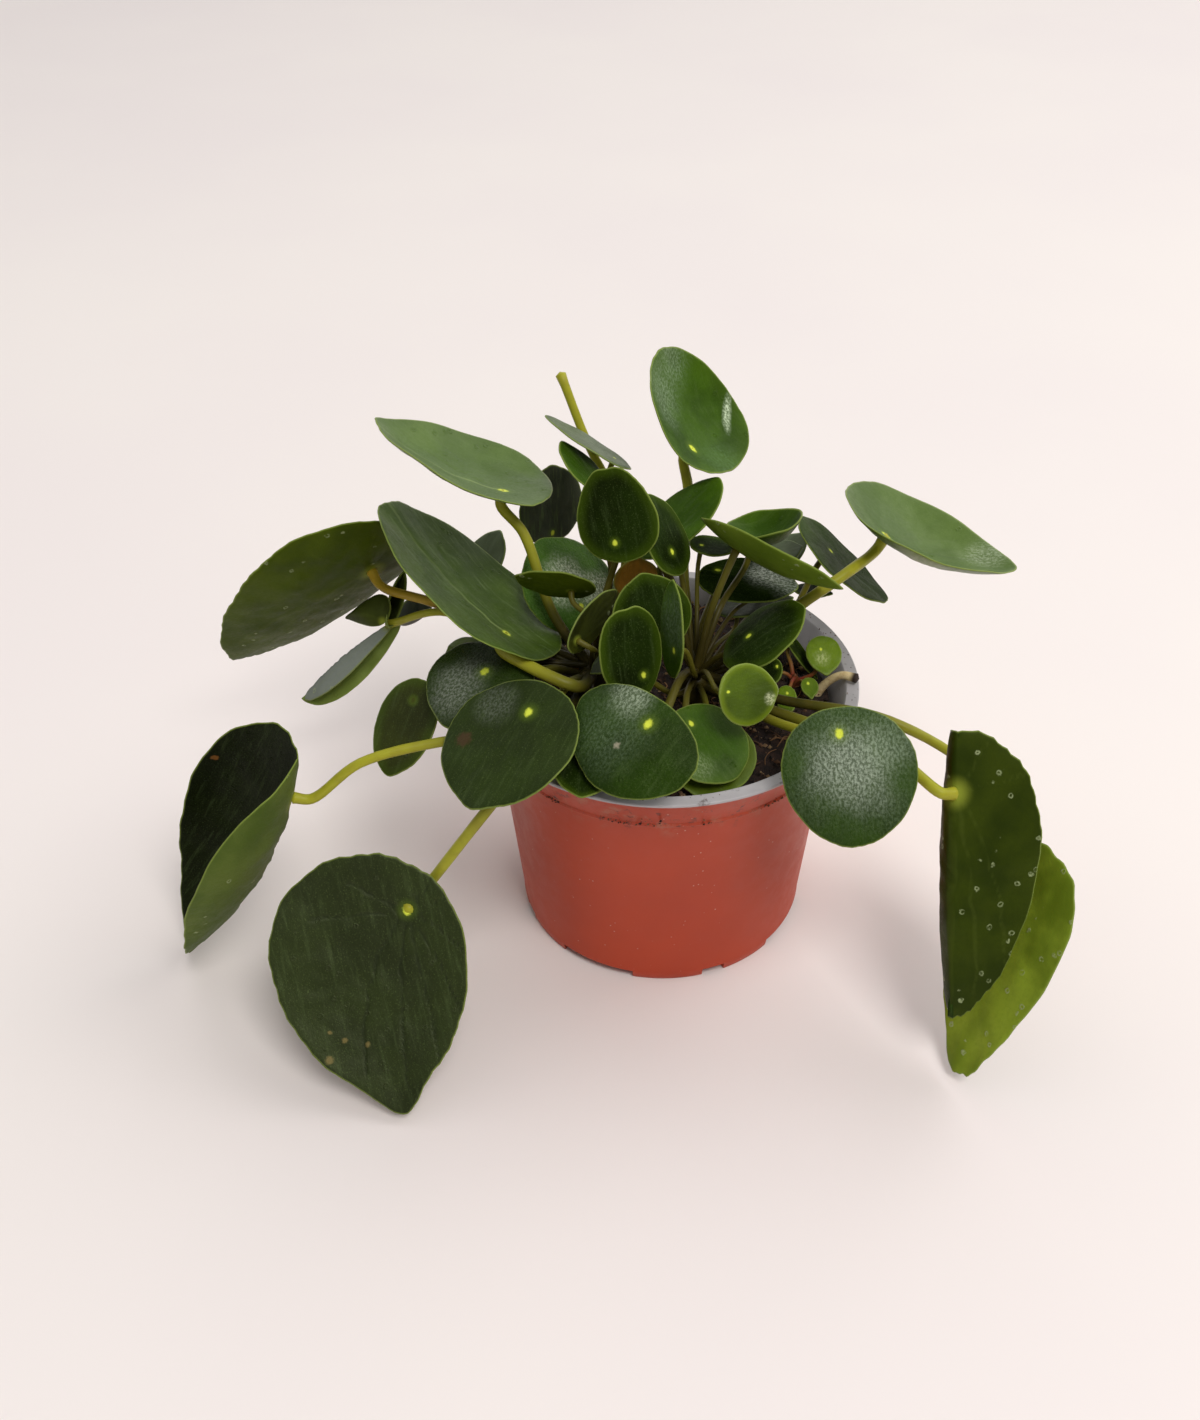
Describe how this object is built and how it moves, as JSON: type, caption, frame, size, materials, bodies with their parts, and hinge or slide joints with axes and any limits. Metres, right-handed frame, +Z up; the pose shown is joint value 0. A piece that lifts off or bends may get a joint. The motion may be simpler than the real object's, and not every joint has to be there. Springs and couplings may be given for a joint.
{
  "type": "potted plant",
  "caption": "Pilea with round shield-shaped leaves on long stalks, growing in a round tapered plastic nursery pot.",
  "frame": {"origin": "middle of the pot's underside, where it rests on the floor", "axes": "+Z up along the pot's axis, -Y towards the side the picture is taken from, +X to the picture's right"},
  "size_m": [0.2739, 0.182, 0.1654],
  "materials": {
    "pot": "satin terracotta red thermoformed plastic, grey inside and on the lip",
    "soil": "dark moist potting soil with fibres",
    "stalk": "yellow-green living stalk",
    "red_stalk": "reddish living stalk",
    "dry_stalk": "dry brown stalk",
    "leaf": "dark green living leaf, semi-gloss",
    "young_leaf": "yellow-green living leaf, semi-gloss",
    "grey_leaf": "greyish green living leaf, matte",
    "old_leaf": "brown ageing leaf, matte"
  },
  "bodies": {
    "root": {"pot": "pot", "soil": "soil", "stems": "stalk", "plantlet_stems": "red_stalk", "dry_stalk": "dry_stalk", "leaf_top": "leaf", "leaf_top_left": "leaf", "leaf_big_left": "leaf", "leaf_left": "leaf", "leaf_left_torn": "leaf", "leaf_left_folded": "leaf", "leaf_lower_left": "leaf", "leaf_front_left": "leaf", "leaf_front": "leaf", "leaf_front_right": "leaf", "leaf_front_under": "young_leaf", "leaf_gloss_left": "leaf", "leaf_brown_left": "old_leaf", "leaf_right": "leaf", "leaf_right_round": "leaf", "leaf_right_hanging": "leaf", "leaf_right_low": "leaf", "leaf_crown_front": "leaf", "leaf_crown_back": "leaf", "leaf_crown_right": "leaf", "leaf_back_grey": "grey_leaf", "leaf_back_small": "leaf", "leaf_back_pale": "grey_leaf", "leaf_back_left": "grey_leaf", "leaf_cross": "leaf", "leaf_cup": "leaf", "leaf_back_right": "leaf", "leaf_back_right_small": "grey_leaf", "leaf_gloss_right": "leaf", "leaf_oval_right": "leaf", "leaf_yellow_right": "young_leaf", "leaf_middle": "leaf", "leaf_middle_dark": "leaf", "leaf_middle_narrow": "leaf", "leaf_old": "old_leaf", "leaf_flat": "leaf", "leaf_crown_gloss": "leaf", "leaf_folded_yellow": "young_leaf", "leaf_soil_small": "grey_leaf", "leaf_front_dark": "leaf", "leaf_right_dark": "leaf", "plantlet_leaf_round": "young_leaf", "plantlet_leaf_folded": "leaf", "plantlet_leaf_near": "young_leaf", "plantlet_leaf_left": "young_leaf", "plantlet_leaf_back": "leaf", "leaf_cross_small": "leaf", "leaf_under_gloss": "leaf", "leaf_cup_under": "grey_leaf", "leaf_behind_left": "leaf"}
  },
  "joints": []
}
